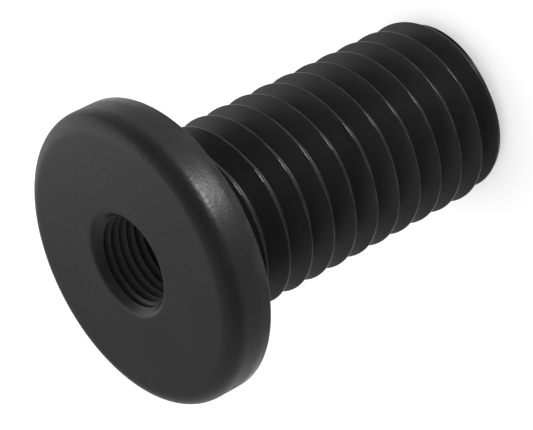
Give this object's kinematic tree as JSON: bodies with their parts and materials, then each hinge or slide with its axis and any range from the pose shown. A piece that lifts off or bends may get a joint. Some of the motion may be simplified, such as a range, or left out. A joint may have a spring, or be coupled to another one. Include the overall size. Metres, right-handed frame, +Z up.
{
  "type": "threaded stud",
  "caption": "Round flat-headed threaded stud, bored through and tapped from the head, with a rounded rim, a countersunk mouth and a coned lead-in at its tip.",
  "frame": {"origin": "centre of the end face of the shank's tip, on which the stud stands", "axes": "+Z up the stud's axis, from the tip to the head's face; X and Y are across it, and the thread's phase is fixed to them"},
  "size_m": [0.0158, 0.0158, 0.022],
  "materials": {
    "black_steel": "blackened steel, satin, with a fine even grain"
  },
  "bodies": {
    "root": {"stud": "black_steel"}
  },
  "joints": []
}
